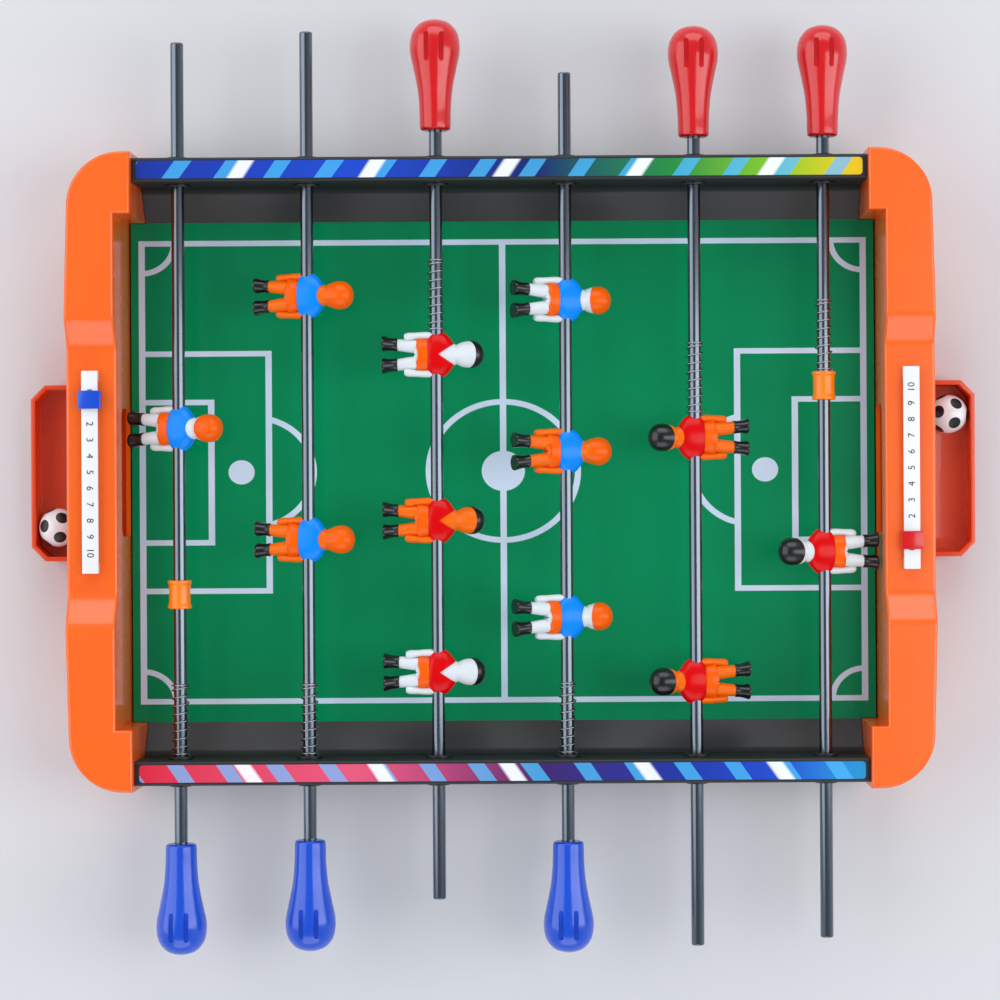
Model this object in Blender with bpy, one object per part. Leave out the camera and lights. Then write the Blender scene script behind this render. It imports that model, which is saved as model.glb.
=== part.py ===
"""Tabletop foosball game: printed pitch board, four moulded walls, six sprung rods with their players.

Units are metres. The origin is the middle of the underside, on the table that the game stands on.
+X runs along the pitch, +Y towards the side with the red handles, +Z up.
"""

import math

import bmesh
import bpy
from mathutils import Matrix, Vector

GAP = 0.0003  # air between pieces that touch or slide
PAST = 0.001  # how far a cutter runs past the face it cuts

# Playing field
FIELD_LENGTH = 0.425  # between the two end walls
FIELD_WIDTH = 0.2844  # between the feet of the two side banks
BOARD_THICKNESS = 0.003
BOARD_UNDERSIDE = 0.013
BOARD_TUCK = 0.0078  # how far the board reaches under each bank

# Side walls: an open-bottomed moulding with a sloped bank that turns the ball back
WALL = 0.0025  # moulded wall thickness
BANK_RUN = 0.0178
BANK_RISE = 0.0127
SIDE_DEPTH = 0.0135  # from the inner to the outer face of a side wall
SIDE_HEIGHT = 0.066
LIP = 0.0022  # thickness of the groove's lower lip
LIP_SETBACK = 0.0008  # of the lip from the foot of the bank

# End walls: they wrap round the corners and hold the goals
END_SETBACK = 0.0095  # from the end of a side wall to the face of the end wall
END_DEPTH = 0.0285  # from the face of the end wall to its bulged outer face
END_BULGE = 0.0025
CORNER_RADIUS = 0.030
END_HEIGHT = 0.072
DIP_HEIGHT = 0.062  # the lower middle that carries the score strip
DIP_HALF = 0.066
SHOULDER = 0.022  # length of each sloped shoulder beside the dip
GOAL_HALF = 0.036
GOAL_HEIGHT = 0.030
TENON = 0.014  # how far an end wall plugs into a side wall
TENON_FOOT = 0.004
END_OVERHANG = 0.003  # of an end wall past the side walls

# Ball trays
TRAY_HALF = 0.050
TRAY_REACH = 0.027
TRAY_HEIGHT = 0.022
TRAY_WALL = 0.0025
TRAY_FLOOR = 0.0035
TRAY_CORNER = 0.008  # how far each front corner is cut back
TRAY_BITE = 0.005  # how far pocket and chute run across the back of the pan
CHUTE_HALF = 0.0385
CHUTE_START = 0.0125  # height of the chute behind the goal
CHUTE_THICKNESS = 0.002
CHUTE_UNDERSIDE = 0.001  # where it meets the floor of the pan
CHUTE_ROOM = 0.019  # height of the outlet above it, for a ball
CURB = 0.0015  # the low rims beside the chute
CURB_HEIGHT = 0.005
BALL_RADIUS = 0.011
BALL_OFFSET = 0.031  # of the ball from the middle of its tray

# Score strips
STRIP_HALF = 0.056
STRIP_WIDTH = 0.009
STRIP_THICKNESS = 0.0025
STRIP_LIFT = 0.0022  # room under the bar for the slider
STRIP_FOOT = 0.006
SLIDER_LENGTH = 0.010
SLIDER_WALL = 0.0014
SLIDER_REST = -0.040  # the slider stands near the end of its strip

# Rods and what they turn in
ROD_RADIUS = 0.0036
ROD_ROUNDING = 0.001
GOALIE_ROOM = 0.0020  # between a goalkeeper's boots, lying level, and the end wall
BORE_PLAY = 0.0004
HOLE_PLAY = 0.0005  # of a side wall's holes round the bushings
BARREL_WALL = 0.0017  # of a bushing, from the rod's surface to its own outside
FLANGE_LIP = 0.0017  # how far the flange stands out from the barrel
FLANGE = 0.0012
SNAP_LIP = 0.0013  # how far the snap ring stands out from the barrel
SNAP = 0.0014
SNAP_TAPER = 0.0006
PULL = 0.040  # how far a rod can be pulled out from its middle place
PUSH_THREE = 0.038  # how far it can be pushed in, by the number of its players
PUSH_TWO = 0.060
PUSH_ONE = 0.056
GRIP_DEPTH = 0.032  # how far the rod reaches into its handle

# Handles
HANDLE_LENGTH = 0.062
HANDLE_NECK = 0.0085
HANDLE_BULB = 0.0140
HANDLE_EDGE = 0.001
HANDLE_SWELL = ((0.30, 0.0010), (0.55, 0.0038))  # share of its length, growth over the neck
HANDLE_ROUND = ((0.72, 0.0), (0.86, 0.0008), (0.96, 0.0060))  # share, loss from the bulb

# Players, springs and collars
SHOULDER_HALF = 0.0130
TORSO_DEPTH = 0.0125
HEAD_RADIUS = 0.0075
HEAD_LENGTH = 0.017
HEAD_TOP = 0.0265
FOOT_REACH = 0.0305
FOOT_ROOM = 0.0025  # between the boots and the board when a player stands upright
LEG_DEPTH = 0.0075
BOOT_DEPTH = 0.0115
BOOT_HALF = 0.0090  # half width over both boots
ANKLE = -0.0225
TOE = 0.002  # how far a boot stands out in front of the leg
CROTCH = -0.0122
TORSO_ROUNDING = 0.0012
# Half outlines from the front, each point (out from the middle, up from the rod)
TORSO_HALF = (
    (0.0040, 0.0100),
    (0.0105, 0.0082),
    (SHOULDER_HALF, 0.0050),
    (0.0124, -0.0180),
    (0.0092, -0.0180),
    (0.0088, -0.0125),
)
LEG_HALF = (
    (0.0085, -0.0110),
    (0.0083, -0.0215),
    (0.0097, -FOOT_REACH),
    (0.0016, -FOOT_REACH),
    (0.0022, -0.0200),
)
WING_ROOM = 0.0537  # from the outer players of a rod of three to the foot of the bank
THREE_MIDDLE = 0.0040  # the middle one stands off centre, away from the handle
PAIR_ROOM = 0.0742  # the same on a rod of two
SPRING_LENGTH = 0.040
SPRING_ROOM = 0.0010  # from the rod's surface to the middle of the wire
SPRING_WIRE = 0.0008
SPRING_TURNS = 10
COLLAR_ROOM = 0.0497  # from its collar to the foot of the bank, with the goalkeeper in the middle
COLLAR_LENGTH = 0.0158
COLLAR_WALL = 0.0026
COLLAR_WAIST = 0.0006

BRACE_WIDTH = 0.030

# Worked out from the sizes above
BOARD_TOP = BOARD_UNDERSIDE + BOARD_THICKNESS
FIELD_END = FIELD_LENGTH / 2
BANK_FOOT = FIELD_WIDTH / 2
WALL_IN = BANK_FOOT + BANK_RUN
WALL_OUT = WALL_IN + SIDE_DEPTH
GOALIE_TO_WALL = FOOT_REACH + GOALIE_ROOM
THREE_SPAN = BANK_FOOT - WING_ROOM
TWO_SPAN = BANK_FOOT - PAIR_ROOM
COLLAR_OFFSET = BANK_FOOT - COLLAR_ROOM
ROD_HEIGHT = BOARD_TOP + FOOT_REACH + FOOT_ROOM
BUSHING_RADIUS = ROD_RADIUS + BARREL_WALL
FLANGE_RADIUS = BUSHING_RADIUS + FLANGE_LIP
SNAP_RADIUS = BUSHING_RADIUS + SNAP_LIP
SPRING_RADIUS = ROD_RADIUS + SPRING_ROOM
COLLAR_RADIUS = ROD_RADIUS + BORE_PLAY + COLLAR_WALL
BUSHING_IN = WALL_IN - GAP - FLANGE
BUSHING_OUT = WALL_OUT + GAP + SNAP
SIDE_END = FIELD_END - END_SETBACK
END_OUT = FIELD_END + END_DEPTH
END_SIDE = WALL_OUT + END_OVERHANG
ROD_PITCH = (FIELD_END - GOALIE_TO_WALL) / 2.5
TRAY_BACK = END_OUT + GAP
TRAY_FRONT = END_OUT + TRAY_REACH

# Each rod from -X to +X: side of its handle, players, push, and how far it stands pushed in
BLUE, RED = -1, 1
THREE = (THREE_SPAN, THREE_MIDDLE, -THREE_SPAN)
TWO = (TWO_SPAN, -TWO_SPAN)
LINE_UP = (
    (BLUE, (0.0,), PUSH_ONE, 0.0242),
    (BLUE, TWO, PUSH_TWO, 0.0299),
    (RED, THREE, PUSH_THREE, 0.0238),
    (BLUE, THREE, PUSH_THREE, 0.0064),
    (RED, TWO, PUSH_TWO, 0.0503),
    (RED, (0.0,), PUSH_ONE, 0.0463),
)
HEADS = (1, 1, 1, 1, -1, -1)  # the way the heads lie along X
LIFTS = (20, 10, 0, -19, 8, 8)  # degrees that the heads of each row are raised above level


def material(name, hex_colour, roughness, metallic=0.0):
    found = bpy.data.materials.get(name)
    if found:
        return found
    made = bpy.data.materials.new(name)
    made.use_nodes = True
    shader = made.node_tree.nodes["Principled BSDF"]
    channels = [int(hex_colour[i : i + 2], 16) / 255 for i in (0, 2, 4)]
    linear = [c / 12.92 if c <= 0.04045 else ((c + 0.055) / 1.055) ** 2.4 for c in channels]
    shader.inputs["Base Color"].default_value = (*linear, 1)
    shader.inputs["Roughness"].default_value = roughness
    shader.inputs["Metallic"].default_value = metallic
    return made


def green_print():
    return material("green_print", "017F4F", 0.35)


def black_plastic():
    return material("black_plastic", "17191D", 0.45)


def orange_plastic():
    return material("orange_plastic", "F4661B", 0.35)


def dark_orange_plastic():
    return material("dark_orange_plastic", "D8481A", 0.35)


def white_plastic():
    return material("white_plastic", "E4E8EA", 0.35)


def blue_plastic():
    return material("blue_plastic", "0A5FD0", 0.3)


def red_plastic():
    return material("red_plastic", "D80A14", 0.3)


def orange_moulding():
    return material("orange_moulding", "FF6A14", 0.3)


def chrome():
    return material("chrome", "D8DADC", 0.12, 1.0)


def spring_steel():
    return material("spring_steel", "C0C2C4", 0.25, 1.0)


def mesh_from(bm, name, round_piece=False):
    bmesh.ops.remove_doubles(bm, verts=bm.verts, dist=1e-6)
    bmesh.ops.recalc_face_normals(bm, faces=bm.faces)
    mesh = bpy.data.meshes.new(name)
    bm.to_mesh(mesh)
    bm.free()
    if round_piece:
        mesh.shade_smooth()
        mesh.set_sharp_from_angle(angle=math.radians(40))
    return mesh


def place(name, mesh, finish, location=(0, 0, 0), turn=None, parent=None):
    """An object whose material is its own, so that several can share one mesh."""
    obj = bpy.data.objects.new(name, mesh)
    bpy.context.scene.collection.objects.link(obj)
    if not mesh.materials:
        mesh.materials.append(None)
    obj.material_slots[0].link = "OBJECT"
    obj.material_slots[0].material = finish
    obj.location = location
    if turn:
        obj.rotation_euler = turn
    obj.parent = parent
    return obj


def prism(outline, axis, low, high, bevel=0.0):
    """A closed outline in the plane across an axis, extruded along that axis from low to high."""
    bm = bmesh.new()
    order = {"X": (2, 0, 1), "Y": (0, 2, 1), "Z": (0, 1, 2)}[axis]
    corners = [(a, b, low) for a, b in outline]
    verts = [bm.verts.new([corner[i] for i in order]) for corner in corners]
    face = bm.faces.new(verts)
    far = bmesh.ops.extrude_face_region(bm, geom=[face])["geom"]
    step = Vector([(0, 0, high - low)[i] for i in order])
    bmesh.ops.translate(bm, vec=step, verts=[v for v in far if isinstance(v, bmesh.types.BMVert)])
    if bevel:
        bmesh.ops.bevel(
            bm, geom=bm.edges, offset=bevel, affect="EDGES", segments=1, profile=0.5, material=-1
        )
    return mesh_from(bm, "prism")


def block(x, y, z):
    """A box between the pairs of values given for each axis."""
    return prism(((x[0], y[0]), (x[1], y[0]), (x[1], y[1]), (x[0], y[1])), "Z", z[0], z[1])


def turned(profile, steps, closed):
    """A profile of (place along Y, radius) spun round the Y axis; closed ones make rings."""
    bm = bmesh.new()
    verts = [bm.verts.new((radius, along, 0)) for along, radius in profile]
    pairs = list(zip(verts, verts[1:]))
    if closed:
        pairs.append((verts[-1], verts[0]))
    edges = [bm.edges.new(pair) for pair in pairs]
    bmesh.ops.spin(
        bm,
        geom=verts + edges,
        cent=(0, 0, 0),
        axis=(0, 1, 0),
        angle=math.tau,
        steps=steps,
        use_merge=True,
    )
    return mesh_from(bm, "turned", round_piece=True)


def combine(mesh, tool_mesh, operation):
    """The mesh after an exact union, difference or intersection with a tool."""
    target = bpy.data.objects.new("target", mesh)
    tool = bpy.data.objects.new("tool", tool_mesh)
    for obj in (target, tool):
        bpy.context.scene.collection.objects.link(obj)
    boolean = target.modifiers.new("combine", "BOOLEAN")
    boolean.operation = operation
    boolean.solver = "EXACT"
    boolean.object = tool
    bpy.context.view_layer.update()
    depsgraph = bpy.context.evaluated_depsgraph_get()
    result = bpy.data.meshes.new_from_object(target.evaluated_get(depsgraph))
    for obj in (target, tool):
        bpy.data.objects.remove(obj)
    return result


def joined(mesh, *tools):
    for tool in tools:
        mesh = combine(mesh, tool, "UNION")
    return mesh


def cut(mesh, *tools):
    for tool in tools:
        mesh = combine(mesh, tool, "DIFFERENCE")
    return mesh


def rod_places():
    """The X place of each rod."""
    return [ROD_PITCH * (i - 2.5) for i in range(len(LINE_UP))]


def pitch_board():
    """The printed board; its corners are notched where the end walls wrap round it."""
    half = FIELD_END - 3 * GAP
    field_side = BANK_FOOT - GAP
    tucked_half = SIDE_END
    side = BANK_FOOT + BOARD_TUCK
    quarter = ((half, field_side), (tucked_half, field_side), (tucked_half, side))
    outline = list(quarter) + [(-x, y) for x, y in reversed(quarter)]
    outline += [(-x, -y) for x, y in quarter] + [(x, -y) for x, y in reversed(quarter)]
    place("pitch_board", prism(outline, "Z", BOARD_UNDERSIDE, BOARD_TOP), green_print())


def board_brace():
    half = BRACE_WIDTH / 2
    reach = BANK_FOOT + LIP_SETBACK - 2 * GAP
    mesh = block((-half, half), (-reach, reach), (0, BOARD_UNDERSIDE - GAP))
    place("board_brace", mesh, black_plastic())


def side_outline():
    """Section across the wall at +Y: bank, wall, top and outer skin, hollow and open below."""
    groove_top = BOARD_TOP + GAP
    groove_low = BOARD_UNDERSIDE - GAP
    groove_back = BANK_FOOT + BOARD_TUCK + GAP
    lip_end = BANK_FOOT + LIP_SETBACK
    bank_top = groove_top + BANK_RISE
    rib = groove_back + WALL
    slope = BANK_RISE / BANK_RUN
    underside = groove_top + (rib - BANK_FOOT) * slope - WALL * math.hypot(1, slope)
    return (
        (BANK_FOOT, groove_top),
        (WALL_IN, bank_top),
        (WALL_IN, SIDE_HEIGHT),
        (WALL_OUT, SIDE_HEIGHT),
        (WALL_OUT, 0),
        (WALL_OUT - WALL, 0),
        (WALL_OUT - WALL, SIDE_HEIGHT - WALL),
        (WALL_IN + WALL, SIDE_HEIGHT - WALL),
        (WALL_IN + WALL, bank_top - WALL / 2),
        (rib, max(underside, groove_low)),
        (rib, groove_low - LIP),
        (lip_end, groove_low - LIP),
        (lip_end, groove_low),
        (groove_back, groove_low),
        (groove_back, groove_top),
    )


def side_panels():
    mesh = prism(side_outline(), "X", -SIDE_END, SIDE_END)
    hole = BUSHING_RADIUS + HOLE_PLAY
    for x in rod_places():
        ring = [
            (x + hole * math.cos(a), ROD_HEIGHT + hole * math.sin(a))
            for a in (math.tau * i / 12 for i in range(12))
        ]
        mesh = cut(mesh, prism(ring, "Y", WALL_IN - PAST, WALL_OUT + PAST))
    place("side_panel_red_handles", mesh, black_plastic())
    place("side_panel_blue_handles", mesh, black_plastic(), turn=(0, 0, math.pi))


def corner_arc(centre_x, centre_y, radius, steps=6):
    return [
        (centre_x + radius * math.sin(a), centre_y + radius * math.cos(a))
        for a in (math.pi / 2 * i / steps for i in range(steps + 1))
    ]


def end_outline(inset):
    """Plan of the end wall at +X, moved in by an inset; it wraps round both side walls."""
    half = [(FIELD_END + inset, BANK_FOOT + inset), (SIDE_END + GAP + inset, BANK_FOOT + inset)]
    half.append((SIDE_END + GAP + inset, END_SIDE - inset))
    centre_x = END_OUT - END_BULGE - CORNER_RADIUS
    half += corner_arc(centre_x, END_SIDE - CORNER_RADIUS, CORNER_RADIUS - inset)
    half += [
        (END_OUT - inset - END_BULGE * s * s, s * (END_SIDE - CORNER_RADIUS))
        for s in (0.75, 0.5, 0.25)
    ]
    return half + [(END_OUT - inset, 0)] + [(x, -y) for x, y in reversed(half)]


def end_elevation(inset, low):
    """The end wall seen along X: high corners, sloped shoulders and the dip between them."""
    side = END_SIDE + PAST
    return (
        (-side, low),
        (side, low),
        (side, END_HEIGHT - inset),
        (DIP_HALF + SHOULDER, END_HEIGHT - inset),
        (DIP_HALF, DIP_HEIGHT - inset),
        (-DIP_HALF, DIP_HEIGHT - inset),
        (-DIP_HALF - SHOULDER, END_HEIGHT - inset),
        (-side, END_HEIGHT - inset),
    )


def end_panel_mesh():
    past = (SIDE_END - PAST, END_OUT + PAST)
    shell = prism(end_outline(0), "Z", 0, END_HEIGHT + PAST)
    shell = combine(shell, prism(end_elevation(0, -PAST), "X", *past), "INTERSECT")
    hollow = prism(end_outline(WALL), "Z", -PAST, END_HEIGHT + PAST)
    hollow = combine(hollow, prism(end_elevation(WALL, -2 * PAST), "X", *past), "INTERSECT")
    goal = block(
        (FIELD_END - PAST, FIELD_END + WALL + PAST),
        (-GOAL_HALF, GOAL_HALF),
        (BOARD_TOP + GAP, BOARD_TOP + GOAL_HEIGHT),
    )
    outlet = block(
        (END_OUT - WALL - END_BULGE - PAST, END_OUT + PAST),
        (-CHUTE_HALF - CURB, CHUTE_HALF + CURB),
        (-PAST, CHUTE_START + CHUTE_ROOM),
    )
    shell = cut(shell, hollow, goal, outlet)
    for side in (-1, 1):
        inner = side * (WALL_IN + WALL + GAP)
        outer = side * (WALL_OUT - WALL - GAP)
        tenon = block(
            (SIDE_END - TENON, SIDE_END + GAP + WALL / 2),
            (min(inner, outer), max(inner, outer)),
            (TENON_FOOT, SIDE_HEIGHT - WALL - GAP),
        )
        shell = joined(shell, tenon)
    return shell


def end_panels():
    mesh = end_panel_mesh()
    place("end_panel_right", mesh, orange_plastic())
    place("end_panel_left", mesh, orange_plastic(), turn=(0, 0, math.pi))


def tray_mesh():
    """A pan outside the end wall, with a chute that reaches in under the goal."""
    corner = TRAY_CORNER
    pan_outline = [
        (TRAY_BACK, -TRAY_HALF),
        (TRAY_FRONT - corner, -TRAY_HALF),
        (TRAY_FRONT, -TRAY_HALF + corner),
        (TRAY_FRONT, TRAY_HALF - corner),
        (TRAY_FRONT - corner, TRAY_HALF),
        (TRAY_BACK, TRAY_HALF),
    ]
    inner_corner = corner - TRAY_WALL * 0.6
    front, side = TRAY_FRONT - TRAY_WALL, TRAY_HALF - TRAY_WALL
    pocket = [
        (TRAY_BACK - TRAY_BITE, -side),
        (front - inner_corner, -side),
        (front, -side + inner_corner),
        (front, side - inner_corner),
        (front - inner_corner, side),
        (TRAY_BACK - TRAY_BITE, side),
    ]
    pan = cut(
        prism(pan_outline, "Z", 0, TRAY_HEIGHT), prism(pocket, "Z", TRAY_FLOOR, TRAY_HEIGHT + PAST)
    )
    start = FIELD_END + WALL + GAP
    end = TRAY_BACK + TRAY_BITE - PAST
    chute = prism(
        (
            (start, CHUTE_START),
            (end, TRAY_FLOOR + GAP),
            (end, CHUTE_UNDERSIDE),
            (TRAY_BACK, CHUTE_UNDERSIDE),
            (start, CHUTE_START - CHUTE_THICKNESS),
        ),
        "Y",
        -CHUTE_HALF,
        CHUTE_HALF,
    )
    pan = joined(pan, chute)
    for side in (-1, 1):
        inner, outer = side * (CHUTE_HALF - CURB), side * CHUTE_HALF
        curb = prism(
            (
                (start, CHUTE_START - CHUTE_THICKNESS / 2),
                (end - 2 * PAST, TRAY_FLOOR),
                (end - 2 * PAST, TRAY_FLOOR + CURB_HEIGHT),
                (start, CHUTE_START + CURB_HEIGHT),
            ),
            "Y",
            min(inner, outer),
            max(inner, outer),
        )
        pan = joined(pan, curb)
    return pan


def ball_trays():
    mesh = tray_mesh()
    place("ball_tray_right", mesh, dark_orange_plastic())
    place("ball_tray_left", mesh, dark_orange_plastic(), turn=(0, 0, math.pi))


def balls():
    bm = bmesh.new()
    bmesh.ops.create_uvsphere(bm, u_segments=14, v_segments=8, radius=BALL_RADIUS)
    mesh = mesh_from(bm, "ball", round_piece=True)
    across = TRAY_FRONT - TRAY_WALL - BALL_RADIUS - 2 * GAP
    height = TRAY_FLOOR + BALL_RADIUS + GAP
    for name, side in (("ball_right", 1), ("ball_left", -1)):
        place(name, mesh, white_plastic(), (side * across, side * BALL_OFFSET, height))


def score_strips():
    """A white bar on two feet in the dip of each end wall, with a slider round it."""
    middle = FIELD_END + END_DEPTH / 2
    low = DIP_HEIGHT + GAP
    bar_low = low + STRIP_LIFT
    half = STRIP_WIDTH / 2
    foot = STRIP_HALF - STRIP_FOOT
    outline = (
        (-STRIP_HALF, low),
        (-foot, low),
        (-foot, bar_low),
        (foot, bar_low),
        (foot, low),
        (STRIP_HALF, low),
        (STRIP_HALF, bar_low + STRIP_THICKNESS),
        (-STRIP_HALF, bar_low + STRIP_THICKNESS),
    )
    strip = prism(outline, "X", middle - half, middle + half)
    hole_half = half + GAP
    hole_low, hole_high = bar_low - GAP, bar_low + STRIP_THICKNESS + GAP
    slider = cut(
        block(
            (middle - hole_half - SLIDER_WALL, middle + hole_half + SLIDER_WALL),
            (SLIDER_REST - SLIDER_LENGTH / 2, SLIDER_REST + SLIDER_LENGTH / 2),
            (hole_low - SLIDER_WALL, hole_high + SLIDER_WALL),
        ),
        block((middle - hole_half, middle + hole_half), (-STRIP_HALF, 0), (hole_low, hole_high)),
    )
    for end, turn in (("right", 0), ("left", math.pi)):
        place("score_strip_" + end, strip, white_plastic(), turn=(0, 0, turn))
        finish = blue_plastic() if end == "left" else red_plastic()
        place("score_slider_" + end, slider, finish, turn=(0, 0, turn))


def bushings():
    """Flanged liners snapped into the holes of the side walls; the rods turn and slide in them."""
    bore = ROD_RADIUS + BORE_PLAY
    profile = (
        (BUSHING_IN, bore),
        (BUSHING_IN, FLANGE_RADIUS),
        (WALL_IN - GAP, FLANGE_RADIUS),
        (WALL_IN - GAP, BUSHING_RADIUS),
        (WALL_OUT + GAP, BUSHING_RADIUS),
        (WALL_OUT + GAP, SNAP_RADIUS),
        (BUSHING_OUT, SNAP_RADIUS - SNAP_TAPER),
        (BUSHING_OUT, bore),
    )
    mesh = turned(profile, 12, closed=True)
    for number, x in enumerate(rod_places(), 1):
        place(f"bushing_{number}_red_side", mesh, black_plastic(), (x, 0, ROD_HEIGHT))
        turn = (0, 0, math.pi)
        place(f"bushing_{number}_blue_side", mesh, black_plastic(), (x, 0, ROD_HEIGHT), turn)


def rod_mesh(push):
    """A round bar; its handle end lies at +Y."""
    grip_end = BUSHING_OUT + GAP + push + GRIP_DEPTH
    free_end = -BUSHING_OUT - PULL
    profile = (
        (free_end, 0),
        (free_end, ROD_RADIUS - ROD_ROUNDING),
        (free_end + ROD_ROUNDING, ROD_RADIUS),
        (grip_end - ROD_ROUNDING, ROD_RADIUS),
        (grip_end, ROD_RADIUS - ROD_ROUNDING),
        (grip_end, 0),
    )
    return turned(profile, 12, closed=False)


def handle_mesh(push):
    """A drop-shaped grip with a blind bore, thick at its outer end."""
    start = BUSHING_OUT + GAP + push
    bore = ROD_RADIUS + BORE_PLAY
    bore_end = start + GRIP_DEPTH + GAP
    profile = (
        (bore_end, 0),
        (bore_end, bore),
        (start, bore),
        (start, HANDLE_NECK - HANDLE_EDGE),
        (start + HANDLE_EDGE, HANDLE_NECK),
        *((start + share * HANDLE_LENGTH, HANDLE_NECK + more) for share, more in HANDLE_SWELL),
        *((start + share * HANDLE_LENGTH, HANDLE_BULB - less) for share, less in HANDLE_ROUND),
        (start + HANDLE_LENGTH, 0),
    )
    return turned(profile, 14, closed=False)


def collar_mesh():
    half = COLLAR_LENGTH / 2
    bore = ROD_RADIUS + BORE_PLAY
    profile = (
        (-half, bore),
        (-half, COLLAR_RADIUS),
        (0, COLLAR_RADIUS - COLLAR_WAIST),
        (half, COLLAR_RADIUS),
        (half, bore),
    )
    return turned(profile, 14, closed=True)


def coil_height(turn):
    """Place of the wire along the spring after this many turns; the end turns lie close."""
    closed = SPRING_WIRE + GAP
    active = (SPRING_LENGTH - SPRING_WIRE - 2 * closed) / (SPRING_TURNS - 2)
    middle = min(max(turn - 1, 0), SPRING_TURNS - 2)
    return SPRING_WIRE / 2 + (turn - middle) * closed + middle * active


def spring_mesh():
    """A helix of square wire round the Y axis, from 0 to its free length."""
    per_turn = 8
    bm = bmesh.new()
    rings = []
    half = SPRING_WIRE / 2
    for i in range(SPRING_TURNS * per_turn + 1):
        angle = math.tau * i / per_turn
        height = coil_height(i / per_turn)
        ring = []
        for out, along in ((-half, -half), (half, -half), (half, half), (-half, half)):
            radius = SPRING_RADIUS + out
            point = (radius * math.cos(angle), height + along, radius * math.sin(angle))
            ring.append(bm.verts.new(point))
        rings.append(ring)
    for ring, after in zip(rings, rings[1:]):
        for a in range(4):
            b = (a + 1) % 4
            bm.faces.new((ring[a], ring[b], after[b], after[a]))
    bm.faces.new(rings[0])
    bm.faces.new(rings[-1])
    return mesh_from(bm, "spring")


def player_mesh():
    """A moulded player, standing on Z with the rod through it along Y, facing +X."""
    torso_outline = list(TORSO_HALF) + [(-y, z) for y, z in reversed(TORSO_HALF)]
    deep = TORSO_DEPTH / 2
    torso = prism(torso_outline, "X", -deep, deep, bevel=TORSO_ROUNDING)
    leg_outline = list(LEG_HALF) + [(0, CROTCH)] + [(-y, z) for y, z in reversed(LEG_HALF)]
    legs = prism(leg_outline, "X", -LEG_DEPTH / 2, LEG_DEPTH / 2)
    heel = LEG_DEPTH / 2 - BOOT_DEPTH
    boots = prism(
        (
            (heel, -FOOT_REACH),
            (LEG_DEPTH / 2 + TOE, -FOOT_REACH),
            (LEG_DEPTH / 2 + TOE / 2, ANKLE),
            (TOE / 2 - LEG_DEPTH / 2, ANKLE + TOE / 2),
        ),
        "Y",
        -BOOT_HALF,
        BOOT_HALF,
    )
    inner_low, inner_high = LEG_HALF[-2][0], LEG_HALF[-1][0]
    below = -FOOT_REACH - PAST
    between = ((-inner_low, below), (inner_low, below), (inner_high, LEG_HALF[-1][1]))
    boots = cut(boots, prism(between, "X", -BOOT_DEPTH, BOOT_DEPTH))
    bm = bmesh.new()
    bmesh.ops.create_uvsphere(bm, u_segments=10, v_segments=7, radius=HEAD_RADIUS)
    stretch = Matrix.Diagonal((1, 1, HEAD_LENGTH / 2 / HEAD_RADIUS, 1))
    centre = Matrix.Translation((0, 0, HEAD_TOP - HEAD_LENGTH / 2))
    bmesh.ops.transform(bm, matrix=centre @ stretch, verts=bm.verts)
    head = mesh_from(bm, "head")
    bore = ROD_RADIUS + BORE_PLAY
    ring = [
        (bore * math.cos(a), bore * math.sin(a)) for a in (math.tau * i / 12 for i in range(12))
    ]
    body = joined(torso, legs, boots, head)
    return cut(body, prism(ring, "Y", -SHOULDER_HALF - PAST, SHOULDER_HALF + PAST))


def rods():
    """Each rod with what is fixed on it hangs from an empty on its own axis."""
    player = player_mesh()
    spring = spring_mesh()
    collar = collar_mesh()
    for number, (x, head, lift, row) in enumerate(zip(rod_places(), HEADS, LIFTS, LINE_UP), 1):
        side, places, push, pushed_in = row
        team = red_plastic() if side == RED else blue_plastic()
        axis = bpy.data.objects.new(f"rod_{number}_axis", None)
        bpy.context.scene.collection.objects.link(axis)
        axis.location = (x, -side * pushed_in, ROD_HEIGHT)
        turn = (0, 0, 0) if side == RED else (0, 0, math.pi)
        place(f"rod_{number}", rod_mesh(push), chrome(), turn=turn, parent=axis)
        place(f"handle_{number}", handle_mesh(push), team, turn=turn, parent=axis)
        # Blue players face +X when they stand, red ones -X; all lie along X here, near level
        facing = math.pi if side == RED else 0
        down = Matrix.Rotation(head * math.radians(90 - lift), 3, "Y")
        lie = (down @ Matrix.Rotation(facing, 3, "Z")).to_euler()
        for count, y in enumerate(places, 1):
            name = f"player_{number}_{count}"
            place(name, player, team, (0, -side * y, 0), lie, axis)
        stop = places[-1] - SHOULDER_HALF
        if len(places) == 1:
            where = (0, side * COLLAR_OFFSET, 0)
            place(f"collar_{number}", collar, orange_moulding(), where, None, axis)
            stop = -COLLAR_OFFSET - COLLAR_LENGTH / 2
        # A blue spring rests on the wall, a red one on the collar or the last player
        if side == BLUE:
            from_wall = -BUSHING_IN + GAP
            place(f"spring_{number}", spring, spring_steel(), (x, from_wall, ROD_HEIGHT))
        else:
            place(f"spring_{number}", spring, spring_steel(), (0, -stop + GAP, 0), None, axis)


def main():
    for obj in list(bpy.data.objects):
        bpy.data.objects.remove(obj)
    pitch_board()
    board_brace()
    side_panels()
    end_panels()
    ball_trays()
    balls()
    score_strips()
    bushings()
    rods()


main()
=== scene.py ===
"""The looks of a tabletop foosball game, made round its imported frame.

Units are metres, in the frame's own axes: +X along the pitch, +Y to the red handles, +Z up.
"""

import math

import bmesh
import bpy
from mathutils import Matrix, Vector


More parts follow.
